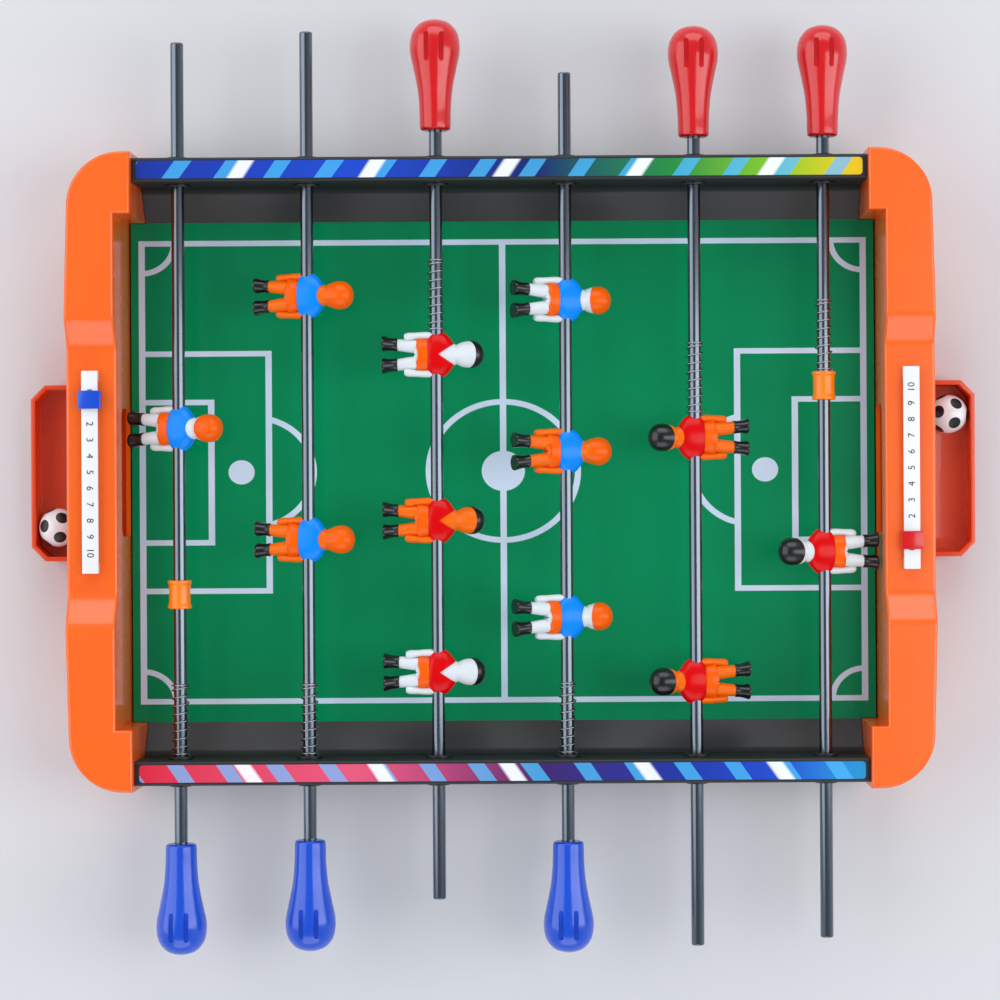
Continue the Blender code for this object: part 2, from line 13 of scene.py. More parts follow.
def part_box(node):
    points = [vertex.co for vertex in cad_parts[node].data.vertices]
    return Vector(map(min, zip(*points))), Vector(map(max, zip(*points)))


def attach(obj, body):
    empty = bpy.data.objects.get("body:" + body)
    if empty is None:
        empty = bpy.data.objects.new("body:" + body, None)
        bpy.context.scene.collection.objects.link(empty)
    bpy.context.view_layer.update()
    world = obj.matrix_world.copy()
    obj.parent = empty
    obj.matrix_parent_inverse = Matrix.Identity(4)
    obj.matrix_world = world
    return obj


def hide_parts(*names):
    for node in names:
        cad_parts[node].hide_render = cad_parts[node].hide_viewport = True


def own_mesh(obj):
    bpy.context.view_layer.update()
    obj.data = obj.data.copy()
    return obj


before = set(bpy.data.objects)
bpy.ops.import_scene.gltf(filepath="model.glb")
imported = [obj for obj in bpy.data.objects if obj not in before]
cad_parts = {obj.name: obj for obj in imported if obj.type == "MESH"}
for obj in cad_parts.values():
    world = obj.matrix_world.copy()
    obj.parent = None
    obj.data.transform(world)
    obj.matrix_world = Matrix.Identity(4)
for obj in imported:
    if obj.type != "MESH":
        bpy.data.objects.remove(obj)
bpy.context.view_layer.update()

MM = 0.001

# What the frame says
BOARD_LOW, BOARD_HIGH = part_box("pitch_board")
PANEL_LOW, PANEL_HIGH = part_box("side_panel_red_handles")
END_LOW, END_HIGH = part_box("end_panel_right")
STRIP_LOW, STRIP_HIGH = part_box("score_strip_right")
BOARD_TOP = BOARD_HIGH[2]

# Rods from -X to +X: the side of the handle, and the way the players' heads lie
BLUE, RED = "blue", "red"
TEAMS = (BLUE, BLUE, RED, BLUE, RED, RED)
HEADS = (1, 1, 1, 1, -1, -1)
LIFTS = (20, 10, 0, -19, 8, 8)  # degrees that each row's heads are raised above level
WHITE_MOULDED = {"player_1_1", "player_3_1", "player_3_3", "player_4_1", "player_4_3", "player_6_1"}


# ---------------------------------------------------------------- materials


def linear(hex_colour):
    """sRGB hex to linear RGBA."""
    channels = [int(hex_colour[i : i + 2], 16) / 255 for i in (0, 2, 4)]
    return (*[c / 12.92 if c <= 0.04045 else ((c + 0.055) / 1.055) ** 2.4 for c in channels], 1)


def add(tree, kind, inputs=None, **settings):
    """Adds a node; inputs are values or sockets to link."""
    made = tree.nodes.new(kind)
    for name, value in settings.items():
        setattr(made, name, value)
    for name, value in (inputs or {}).items():
        if isinstance(value, bpy.types.NodeSocket):
            tree.links.new(value, made.inputs[name])
        else:
            made.inputs[name].default_value = value
    return made


def shader_of(name, **values):
    """A new material and its Principled shader with these values on its own sockets."""
    made = bpy.data.materials.new(name)
    made.use_nodes = True
    tree = made.node_tree
    shader = tree.nodes["Principled BSDF"]
    for socket, value in values.items():
        shader.inputs[socket.replace("_", " ")].default_value = value
    return made, tree, shader


def moulded_plastic(name, colour, shade, roughness, grain_mm, relief_mm, coat=0.0, specular=0.5):
    """Injection-moulded plastic: cloudy colour a few centimetres wide over a fine moulded grain."""
    made, tree, shader = shader_of(
        name, IOR=1.50, Specular_IOR_Level=specular, Coat_Weight=coat, Coat_Roughness=0.06
    )
    place = add(tree, "ShaderNodeTexCoord").outputs["Object"]
    cloud = add(
        tree, "ShaderNodeTexNoise", {"Vector": place, "Scale": 1 / (35 * MM), "Detail": 3.0}
    )
    tint = add(
        tree,
        "ShaderNodeMix",
        {"Factor": cloud.outputs["Fac"], 6: linear(colour), 7: linear(shade)},
        data_type="RGBA",
    )
    grain = add(
        tree, "ShaderNodeTexNoise", {"Vector": place, "Scale": 1 / (grain_mm * MM), "Detail": 4.0}
    )
    gloss = add(
        tree,
        "ShaderNodeMapRange",
        {"Value": cloud.outputs["Fac"], "To Min": roughness * 0.85, "To Max": roughness * 1.2},
    )
    relief = add(
        tree,
        "ShaderNodeBump",
        {"Height": grain.outputs["Fac"], "Strength": 0.6, "Distance": relief_mm * MM},
    )
    tree.links.new(tint.outputs[2], shader.inputs["Base Color"])
    tree.links.new(gloss.outputs["Result"], shader.inputs["Roughness"])
    tree.links.new(relief.outputs["Normal"], shader.inputs["Normal"])
    return made


def plated_steel(name, colour, roughness, along_mm, relief_mm):
    """Polished, plated or drawn steel: hairlines that run along the bar, the Y axis."""
    made, tree, shader = shader_of(name, Metallic=1.0, Base_Color=linear(colour))
    place = add(tree, "ShaderNodeTexCoord").outputs["Object"]
    drawn = add(tree, "ShaderNodeMapping", {"Vector": place, "Scale": (1, 0.3 / along_mm, 1)})
    lines = add(
        tree,
        "ShaderNodeTexNoise",
        {"Vector": drawn.outputs["Vector"], "Scale": 1 / (0.3 * MM), "Detail": 3.0},
    )
    gloss = add(
        tree,
        "ShaderNodeMapRange",
        {"Value": lines.outputs["Fac"], "To Min": roughness * 0.7, "To Max": roughness * 1.4},
    )
    relief = add(
        tree,
        "ShaderNodeBump",
        {"Height": lines.outputs["Fac"], "Strength": 0.4, "Distance": relief_mm * MM},
    )
    tree.links.new(gloss.outputs["Result"], shader.inputs["Roughness"])
    tree.links.new(relief.outputs["Normal"], shader.inputs["Normal"])
    return made


def lacquered_print():
    """Green ink on thin hardboard under gloss lacquer: soft ink clouds and a faint orange peel."""
    made, tree, shader = shader_of(
        "lacquered_print", IOR=1.45, Specular_IOR_Level=0.25, Coat_Weight=0.05, Coat_Roughness=0.08
    )
    place = add(tree, "ShaderNodeTexCoord").outputs["Object"]
    cloud = add(
        tree, "ShaderNodeTexNoise", {"Vector": place, "Scale": 1 / (70 * MM), "Detail": 2.0}
    )
    ink = add(
        tree,
        "ShaderNodeMix",
        {"Factor": cloud.outputs["Fac"], 6: linear("008450"), 7: linear("00925E")},
        data_type="RGBA",
    )
    dots = add(
        tree, "ShaderNodeTexVoronoi", {"Vector": place, "Scale": 1 / (0.9 * MM)}
    )
    speck = add(
        tree,
        "ShaderNodeMapRange",
        {"Value": dots.outputs["Distance"], "To Min": 0.97, "To Max": 1.03},
    )
    printed = add(
        tree,
        "ShaderNodeHueSaturation",
        {"Color": ink.outputs[2], "Value": speck.outputs["Result"]},
    )
    peel = add(
        tree, "ShaderNodeTexNoise", {"Vector": place, "Scale": 1 / (2.5 * MM), "Detail": 1.0}
    )
    relief = add(
        tree,
        "ShaderNodeBump",
        {"Height": peel.outputs["Fac"], "Strength": 0.25, "Distance": 0.03 * MM},
    )
    tree.links.new(printed.outputs["Color"], shader.inputs["Base Color"])
    tree.links.new(relief.outputs["Normal"], shader.inputs["Normal"])
    shader.inputs["Roughness"].default_value = 0.22
    return made


def sticker_film(name, stops, lean):
    """Glossy printed film: slanted bars over a ground whose colour changes along the rail."""
    made, tree, shader = shader_of(name, IOR=1.48, Coat_Weight=0.5, Coat_Roughness=0.05)
    place = add(tree, "ShaderNodeTexCoord").outputs["Object"]
    along = add(tree, "ShaderNodeSeparateXYZ", {"Vector": place})
    share = add(
        tree,
        "ShaderNodeMapRange",
        {"Value": along.outputs["X"], "From Min": PANEL_LOW[0], "From Max": PANEL_HIGH[0]},
    )
    ground = add(tree, "ShaderNodeValToRGB", {"Fac": share.outputs["Result"]})
    ramp = ground.color_ramp
    while len(ramp.elements) < len(stops):
        ramp.elements.new(0.5)
    for element, (position, colour) in zip(ramp.elements, stops):
        element.position = position
        element.color = linear(colour)
    turned_place = add(
        tree, "ShaderNodeMapping", {"Vector": place, "Rotation": (0, 0, math.radians(lean))}
    )
    picture = ground.outputs["Color"]
    # Two sets of bars, 23 and 61 mm apart, each with its own ink
    for spacing, cover, ink, strength in ((23, 0.74, "48B4F0", 0.7), (61, 0.95, "F4F8FC", 0.9)):
        bars = add(
            tree,
            "ShaderNodeTexWave",
            {
                "Vector": turned_place.outputs["Vector"],
                "Scale": 0.314 / (spacing * MM),
                "Distortion": 0.6,
                "Detail": 0.0,
            },
            bands_direction="X",
        )
        bar = add(
            tree,
            "ShaderNodeMapRange",
            {
                "Value": bars.outputs["Fac"],
                "From Min": cover,
                "From Max": cover + 0.03,
                "To Max": strength,
            },
        )
        picture = add(
            tree,
            "ShaderNodeMix",
            {"Factor": bar.outputs["Result"], 6: picture, 7: linear(ink)},
            data_type="RGBA",
        ).outputs[2]
    tree.links.new(picture, shader.inputs["Base Color"])
    shader.inputs["Roughness"].default_value = 0.22
    return made


def make_materials():
    """Every finish of the game by a short name."""
    return {
        "print": lacquered_print(),
        # White ink on the same lacquer, a little blue under it
        "lines": moulded_plastic("printed_line_ink", "D8EAFC", "CEE2FA", 0.25, 2.5, 0.01, 0.05, 0.3),
        # ABS from a lightly spark-eroded mould: satin black
        "black": moulded_plastic("satin_black_abs", "17191D", "1D2025", 0.42, 0.45, 0.012),
        # ABS from polished moulds: deep, even colour under clear highlights with soft edges
        "orange": moulded_plastic("gloss_orange_abs", "FA6A14", "F25F10", 0.26, 3.0, 0.02, 0.35),
        # Ball trays: the same orange ABS made darker and redder, painted shade for the shadow the tray sits
        # in at the foot of the end wall
        "tray": moulded_plastic("gloss_orange_abs_painted_shade", "E5480E", "DB3F0B", 0.28, 3.0, 0.02, 0.3),
        "white": moulded_plastic("gloss_white_abs", "EDEFF2", "E4E7EC", 0.25, 3.0, 0.015, 0.4),
        "blue": moulded_plastic("gloss_blue_abs", "0A4FD2", "0746C4", 0.22, 3.0, 0.02, 0.4),
        "red": moulded_plastic("gloss_red_abs", "D60A12", "C80710", 0.22, 3.0, 0.02, 0.4),
        # Sprayed enamel on the moulded players: bright, even colour with weak highlights
        "blue_enamel": moulded_plastic("blue_enamel", "048CFA", "0284F0", 0.24, 2.0, 0.02, 0.03, 0.2),
        "red_enamel": moulded_plastic("red_enamel", "DC0006", "CE0004", 0.24, 2.0, 0.02, 0.03, 0.2),
        "orange_enamel": moulded_plastic("orange_enamel", "F86400", "F05A00", 0.24, 2.0, 0.02, 0.03, 0.2),
        "black_enamel": moulded_plastic("black_enamel", "0C0E11", "121519", 0.26, 2.0, 0.03, 0.15),
        # Bare polypropylene where the players are not painted: soft gloss, weak highlights
        "skin_orange": moulded_plastic("gloss_orange_pp", "F47008", "EC6606", 0.26, 3.0, 0.02, 0.03, 0.2),
        "skin_white": moulded_plastic("gloss_white_pp", "DCE4E9", "D4DCE3", 0.26, 3.0, 0.02, 0.03, 0.3),
        "collar": moulded_plastic("gloss_amber_pp", "FF8400", "FA7A00", 0.28, 3.0, 0.02, 0.2),
        # Chrome over drawn steel, with hairlines along the rod; its colour is darkened to a mid grey, painted
        # shade that stands in for dark surroundings in its reflection, so the lamps show as light and dark
        # stripes that run the length of the rod
        "chrome": plated_steel("chrome_plate_painted_shade", "6E7883", 0.17, 12, 0.001),
        # Bright drawn wire: lighter than the rod behind it, with broader highlights
        "spring": plated_steel("bright_spring_wire", "A2A8B0", 0.22, 4, 0.003),
        # Nylon straight from the mould: black with a low, greasy sheen
        "nylon": moulded_plastic("black_nylon", "14161A", "1A1D21", 0.38, 0.6, 0.01),
        # Pad-printed ink: a flat black film
        "ink": moulded_plastic("black_print_ink", "0C0D10", "101216", 0.35, 2.0, 0.005),
        # Printed vinyl under a gloss laminate: strong colours with hard highlights
        "sticker_blue": sticker_film(
            "blue_rail_film",
            (
                (0.0, "0D2F9E"),
                (0.30, "1246C8"),
                (0.55, "0E1F6A"),
                (0.74, "1C8A3C"),
                (0.88, "7FC21E"),
                (1.0, "F2C60C"),
            ),
            35,
        ),
        "sticker_pink": sticker_film(
            "pink_rail_film",
            (
                (0.0, "D8213C"),
                (0.30, "E2557A"),
                (0.55, "3A1C66"),
                (0.74, "0D2F9E"),
                (0.88, "1246C8"),
                (1.0, "1C9AD8"),
            ),
            -35,
        ),
    }


# ---------------------------------------------------------------- mesh tools


def finished(bm, name, sharp=35, recalc=True):
    """A mesh with its doubles merged, its normals out and its edges sharp past an angle."""
    bmesh.ops.remove_doubles(bm, verts=bm.verts, dist=1e-6)
    if recalc:
        bmesh.ops.recalc_face_normals(bm, faces=bm.faces)
    mesh = bpy.data.meshes.new(name)
    bm.to_mesh(mesh)
    bm.free()
    mesh.shade_smooth()
    mesh.set_sharp_from_angle(angle=math.radians(sharp))
    return mesh


def piece(name, mesh, body, looks, slot, *nodes):
    """Puts a finished mesh in the scene: what it rides on, and the nodes it stands for; its slot argument is
    not used.
    """
    obj = bpy.data.objects.new(name, mesh)
    bpy.context.scene.collection.objects.link(obj)
    mesh.materials.clear()
    for look in looks if isinstance(looks, list) else [looks]:
        mesh.materials.append(look)
    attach(obj, body)
    if nodes:
        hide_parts(*nodes)
    return obj


def moved(mesh, matrix, name):
    """A copy of a mesh, put in its place."""
    made = mesh.copy()
    made.name = name
    made.transform(matrix)
    return made


def applied(mesh, kind, **settings):
    """The mesh after one modifier."""
    holder = bpy.data.objects.new("holder", mesh)
    bpy.context.scene.collection.objects.link(holder)
    modifier = holder.modifiers.new("shape", kind)
    for key, value in settings.items():
        setattr(modifier, key, value)
    bpy.context.view_layer.update()
    graph = bpy.context.evaluated_depsgraph_get()
    result = bpy.data.meshes.new_from_object(holder.evaluated_get(graph))
    bpy.data.objects.remove(holder)
    return result


def combined(mesh, tool_mesh, operation="DIFFERENCE"):
    """The mesh after an exact boolean with another."""
    tool = bpy.data.objects.new("tool", tool_mesh)
    bpy.context.scene.collection.objects.link(tool)
    result = applied(mesh, "BOOLEAN", operation=operation, solver="EXACT", object=tool)
    bpy.data.objects.remove(tool)
    return result


def evened(mesh, sharp):
    """Normals that follow the large flat faces, so that bevels and holes leave no streaks."""
    mesh.shade_smooth()
    mesh.set_sharp_from_angle(angle=math.radians(sharp))
    return applied(mesh, "WEIGHTED_NORMAL", mode="FACE_AREA", keep_sharp=True)


def prism(outline, axis, low, high):
    """A closed outline across an axis, extruded along it, as a bmesh."""
    bm = bmesh.new()
    order = {"X": (2, 0, 1), "Y": (0, 2, 1), "Z": (0, 1, 2)}[axis]
    verts = [bm.verts.new([(a, b, low)[i] for i in order]) for a, b in outline]
    face = bm.faces.new(verts)
    far = bmesh.ops.extrude_face_region(bm, geom=[face])["geom"]
    step = Vector([(0, 0, high - low)[i] for i in order])
    bmesh.ops.translate(bm, vec=step, verts=[v for v in far if isinstance(v, bmesh.types.BMVert)])
    bmesh.ops.recalc_face_normals(bm, faces=bm.faces)
    return bm


def block(x, y, z):
    """A box between two values along each axis, as a bmesh."""
    return prism(((x[0], y[0]), (x[1], y[0]), (x[1], y[1]), (x[0], y[1])), "Z", z[0], z[1])


def round_edges(bm, width, segments=3, pick=None, least=25):
    """Rounds the edges sharper than an angle, or those of them that pick accepts."""
    edges = [
        e
        for e in bm.edges
        if len(e.link_faces) == 2
        and e.calc_face_angle(0) > math.radians(least)
        and (pick is None or pick(e))
    ]
    bmesh.ops.bevel(
        bm,
        geom=edges,
        offset=width,
        affect="EDGES",
        segments=segments,
        profile=0.5,
        material=-1,
        clamp_overlap=True,
    )
    return bm


def turned(profile, steps, closed=False):
    """A profile of (place along Y, radius) spun round the Y axis."""
    bm = bmesh.new()
    verts = [bm.verts.new((radius, along, 0)) for along, radius in profile]
    pairs = list(zip(verts, verts[1:])) + ([(verts[-1], verts[0])] if closed else [])
    edges = [bm.edges.new(pair) for pair in pairs]
    bmesh.ops.spin(
        bm,
        geom=verts + edges,
        cent=(0, 0, 0),
        axis=(0, 1, 0),
        angle=math.tau,
        steps=steps,
        use_merge=True,
    )
    return bm


def eased(points, steps=6):
    """A smooth line through profile points."""
    out = []
    for i in range(len(points) - 1):
        before = points[max(i - 1, 0)]
        a, b = points[i], points[i + 1]
        after = points[min(i + 2, len(points) - 1)]
        for step in range(steps):
            t = step / steps
            out.append(
                tuple(
                    0.5
                    * (
                        2 * a[k]
                        + (b[k] - before[k]) * t
                        + (2 * before[k] - 5 * a[k] + 4 * b[k] - after[k]) * t * t
                        + (3 * a[k] - before[k] - 3 * b[k] + after[k]) * t**3
                    )
                    for k in (0, 1)
                )
            )
    return out + [points[-1]]


# ---------------------------------------------------------------- pitch


PRINT_STRETCH = 1.08  # the printed circles are wider along the pitch
LINE_X = 3.6 * MM  # width of the lines that run across the pitch
LINE_Y = 3.1 * MM
LINE_ARC = 3.2 * MM
INK_THICKNESS = 0.03 * MM
INK_STEP = 0.002 * MM  # how much higher each later layer lies
HALF_LENGTH, HALF_WIDTH = 205.5 * MM, 130.5 * MM  # of the touch lines, from the centre spot
AREA_DEPTH, AREA_HALF = 72 * MM, 67.6 * MM
GOAL_AREA_DEPTH, GOAL_AREA_HALF = 39.2 * MM, 40 * MM
SPOT_DEPTH, SPOT_RADIUS = 56.3 * MM, 6.9 * MM
ARC_DEPTH, ARC_RADIUS = 64 * MM, 31 * MM
ARC_OPENING = 76  # degrees each way of the arc in front of the area
CORNER_ARC = 17 * MM
CENTRE_CIRCLE, CENTRE_SPOT = 39.4 * MM, 11.4 * MM


def ink_bar(bm, x, y, layer):
    """A printed bar between two X and two Y values; each layer lies a hair above the last."""
    made = bmesh.ops.create_cube(bm, size=1)["verts"]
    top = INK_THICKNESS + layer * INK_STEP
    size = (x[1] - x[0], y[1] - y[0], top)
    middle = ((x[0] + x[1]) / 2, (y[0] + y[1]) / 2, BOARD_TOP + top / 2)
    bmesh.ops.scale(bm, vec=size, verts=made)
    bmesh.ops.translate(bm, vec=middle, verts=made)


def ink_arc(bm, centre, radius, width, start, sweep, layer):
    """A printed arc, or a full ring; angles in degrees from +X."""
    top = INK_THICKNESS + layer * INK_STEP
    inner, outer = radius - width / 2, radius + width / 2
    verts = [bm.verts.new((r, 0, z)) for r, z in ((inner, 0), (outer, 0), (outer, top), (inner, top))]
    start_turn = Matrix.Rotation(math.radians(start), 4, "Z")
    bmesh.ops.transform(bm, matrix=start_turn, verts=verts)
    edges = [bm.edges.new(pair) for pair in zip(verts, verts[1:] + verts[:1])]
    full = sweep >= 360
    before = set(bm.verts)
    spun = bmesh.ops.spin(
        bm,
        geom=verts + edges,
        cent=(0, 0, 0),
        axis=(0, 0, 1),
        angle=math.radians(sweep),
        steps=max(int(sweep / 4), 8),
        use_merge=full,
    )
    made = [v for v in bm.verts if v not in before] + verts
    if not full:
        bmesh.ops.contextual_create(bm, geom=verts)
        last = [v for v in spun["geom_last"] if isinstance(v, bmesh.types.BMVert)]
        bmesh.ops.contextual_create(bm, geom=last)
    bmesh.ops.scale(bm, vec=(PRINT_STRETCH, 1, 1), verts=made)
    bmesh.ops.translate(bm, vec=(centre[0], centre[1], BOARD_TOP), verts=made)


def ink_spot(bm, centre, radius, layer):
    """A printed disc."""
    top = INK_THICKNESS + layer * INK_STEP
    made = bmesh.ops.create_cone(
        bm, cap_ends=True, segments=64, radius1=radius, radius2=radius, depth=top
    )["verts"]
    bmesh.ops.scale(bm, vec=(PRINT_STRETCH, 1, 1), verts=made)
    bmesh.ops.translate(bm, vec=(centre[0], centre[1], BOARD_TOP + top / 2), verts=made)


def ink_frame(bm, x, y, layer):
    """Three sides of a printed box that opens towards its goal line at x[0]."""
    side = 1 if x[1] > x[0] else -1
    far = x[1]
    for edge in y:
        ink_bar(bm, sorted((x[0], far)), (edge - LINE_Y / 2, edge + LINE_Y / 2), layer)
    ink_bar(
        bm,
        sorted((far - side * LINE_X / 2, far + side * LINE_X / 2)),
        (y[0] - LINE_Y / 2, y[1] + LINE_Y / 2),
        layer + 1,
    )


def pitch_lines():
    """Touch lines, halfway line, circles, areas, spots and corner arcs, printed as one piece."""
    bm = bmesh.new()
    for side in (-1, 1):
        touch, goal_line = side * HALF_WIDTH, side * HALF_LENGTH
        ink_bar(
            bm,
            (-HALF_LENGTH - LINE_X / 2, HALF_LENGTH + LINE_X / 2),
            (touch - LINE_Y / 2, touch + LINE_Y / 2),
            0,
        )
        ink_bar(
            bm,
            (goal_line - LINE_X / 2, goal_line + LINE_X / 2),
            (-HALF_WIDTH, HALF_WIDTH),
            1,
        )
        area, goal_area = goal_line - side * AREA_DEPTH, goal_line - side * GOAL_AREA_DEPTH
        ink_frame(bm, (goal_line, area), (-AREA_HALF, AREA_HALF), 2)
        ink_frame(bm, (goal_line, goal_area), (-GOAL_AREA_HALF, GOAL_AREA_HALF), 4)
        ink_spot(bm, (goal_line - side * SPOT_DEPTH, 0), SPOT_RADIUS, 0)
        arc_centre = (goal_line - side * ARC_DEPTH, 0)
        facing = 180 if side > 0 else 0
        ink_arc(
            bm, arc_centre, ARC_RADIUS, LINE_ARC, facing - ARC_OPENING, 2 * ARC_OPENING, 6
        )
        for end in (-1, 1):
            start = {(-1, -1): 0, (-1, 1): 270, (1, 1): 180, (1, -1): 90}[(side, end)]
            ink_arc(bm, (goal_line, end * HALF_WIDTH), CORNER_ARC, LINE_Y, start, 90, 7)
    ink_bar(bm, (-LINE_X / 2, LINE_X / 2), (-HALF_WIDTH, HALF_WIDTH), 2)
    ink_arc(bm, (0, 0), CENTRE_CIRCLE, LINE_ARC, 0, 360, 3)
    ink_spot(bm, (0, 0), CENTRE_SPOT, 4)
    mesh = finished(bm, "pitch_lines")
    piece("pitch_lines", mesh, "root", finishes["lines"], "pitch")


# ---------------------------------------------------------------- walls


WALL = 2.5 * MM
GAP = 0.3 * MM
PAST = 1 * MM  # how far a cutter runs past the face that it cuts
BANK_FOOT, BANK_RISE = 142.2 * MM, 12.7 * MM
WALL_IN = 160.0 * MM
WALL_OUT = PANEL_HIGH[1]
GROOVE_LIP, LIP_SETBACK = 2.2 * MM, 0.8 * MM  # the lip under the board's edge
RIB_HEIGHT = 6.9 * MM  # of the rib behind the board's edge
ROD_HOLE = 5.8 * MM  # radius, a little over the bushing's
END_FACE = 212.5 * MM  # the face of an end wall towards the pitch
END_BULGE, CORNER_RADIUS = 2.5 * MM, 30 * MM
DIP_HALF, SHOULDER = 66 * MM, 22 * MM  # the low middle of an end wall and the slopes beside it
DIP_HEIGHT = 62 * MM
GOAL_HALF, GOAL_HEIGHT = 36 * MM, 30 * MM
OUTLET_HALF, OUTLET_HEIGHT = 40 * MM, 31.5 * MM
MOUTH_ROUNDING = 6 * MM  # of the upper corners of goals and outlets
TENON_FOOT = 4 * MM


def side_wall():
    """Bank, inner wall, top and skin of one side, rounded where fingers touch it."""
    foot = BANK_FOOT
    top = PANEL_HIGH[2]
    groove_top, groove_low = BOARD_TOP + GAP, BOARD_LOW[2] - GAP
    groove_back = BOARD_HIGH[1] + GAP
    rib = groove_back + WALL
    outline = (
        (foot, groove_top),
        (WALL_IN, groove_top + BANK_RISE),
        (WALL_IN, top),
        (WALL_OUT, top),
        (WALL_OUT, 0),
        (WALL_OUT - WALL, 0),
        (WALL_OUT - WALL, top - WALL),
        (WALL_IN + WALL, top - WALL),
        (WALL_IN + WALL, groove_top + BANK_RISE - WALL / 2),
        (rib, groove_low + RIB_HEIGHT),
        (rib, groove_low - GROOVE_LIP),
        (foot + LIP_SETBACK, groove_low - GROOVE_LIP),
        (foot + LIP_SETBACK, groove_low),
        (groove_back, groove_low),
        (groove_back, groove_top),
    )
    bm = prism(outline, "X", PANEL_LOW[0], PANEL_HIGH[0])

    def top_edge(edge):
        a, b = (v.co for v in edge.verts)
        return min(a.z, b.z) > top - 0.1 * MM and abs(a.x - b.x) > 1 * MM

    def bank_edge(edge):
        a, b = (v.co for v in edge.verts)
        level = groove_top + BANK_RISE
        return abs(a.z - level) < 0.1 * MM and abs(b.z - level) < 0.1 * MM and a.y < WALL_IN + 1 * MM

    round_edges(bm, 1.4 * MM, 4, top_edge)
    round_edges(bm, 4.0 * MM, 6, bank_edge)
    mesh = finished(bm, "side_wall")
    for x, height in rod_lines():
        hole = prism(
            [
                (x + ROD_HOLE * math.cos(a), height + ROD_HOLE * math.sin(a))
                for a in (math.tau * i / 40 for i in range(40))
            ],
            "Y",
            WALL_IN - 2 * PAST,
            WALL_OUT + 2 * PAST,
        )
        mesh = combined(mesh, finished(hole, "hole"))
    return evened(mesh, 35)


def rod_lines():
    """X and height of each rod's axis."""
    lines = []
    for number in range(1, len(TEAMS) + 1):
        low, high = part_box(f"rod_{number}")
        lines.append(((low[0] + high[0]) / 2, (low[2] + high[2]) / 2))
    return lines


def rail_film():
    """A printed film on the top of a side wall, with rounded corners."""
    inset = 1.9 * MM
    top = PANEL_HIGH[2]
    bm = block(
        (PANEL_LOW[0] + 2.5 * MM, PANEL_HIGH[0] - 2.5 * MM),
        (WALL_IN + inset, WALL_OUT - inset),
        (top, top + 0.12 * MM),
    )

    def upright(edge):
        a, b = (v.co for v in edge.verts)
        return abs(a.z - b.z) > 0.05 * MM

    round_edges(bm, 2.0 * MM, 5, upright)
    return finished(bm, "rail_film")


def side_walls():
    """Both side walls and the films on them."""
    mesh = side_wall()
    film = rail_film()
    turn = Matrix.Rotation(math.pi, 4, "Z")
    for team, matrix in ((RED, Matrix.Identity(4)), (BLUE, turn)):
        node = f"side_panel_{team}_handles"
        piece(
            node + "_shell", moved(mesh, matrix, node), "root", finishes["black"], "black_panels", node
        )
        look = finishes["sticker_blue" if team == RED else "sticker_pink"]
        piece(f"rail_film_{team}", moved(film, matrix, "rail_film"), "root", look, "black_panels")


def end_outline(inset):
    """Plan of the end wall at +X, moved in by an inset."""
    step, side = PANEL_HIGH[0] + GAP, END_HIGH[1]
    half = [(END_FACE + inset, BANK_FOOT + inset), (step + inset, BANK_FOOT + inset)]
    half.append((step + inset, side - inset))
    centre_x, centre_y = END_HIGH[0] - END_BULGE - CORNER_RADIUS, side - CORNER_RADIUS
    steps = 20
    for i in range(steps + 1):
        a = math.pi / 2 * i / steps
        reach = CORNER_RADIUS - inset
        half.append((centre_x + reach * math.sin(a), centre_y + reach * math.cos(a)))
    for i in range(1, 12):
        s = 1 - i / 12
        half.append((END_HIGH[0] - inset - END_BULGE * s * s, s * centre_y))
    return half + [(END_HIGH[0] - inset, 0)] + [(x, -y) for x, y in reversed(half)]


def end_elevation(inset, low):
    """High corners, eased shoulders and the dip between them, seen along X."""
    side = END_HIGH[1] + 10 * MM
    rise = END_HIGH[2] - DIP_HEIGHT
    half = [(side, END_HIGH[2] - inset)]
    steps = 14
    for i in range(steps + 1):
        t = i / steps
        ease = (1 + math.cos(math.pi * t)) / 2
        half.append((DIP_HALF + SHOULDER * (1 - t), DIP_HEIGHT + rise * ease - inset))
    return [(-side, low), (side, low)] + half + [(-y, z) for y, z in reversed(half)]


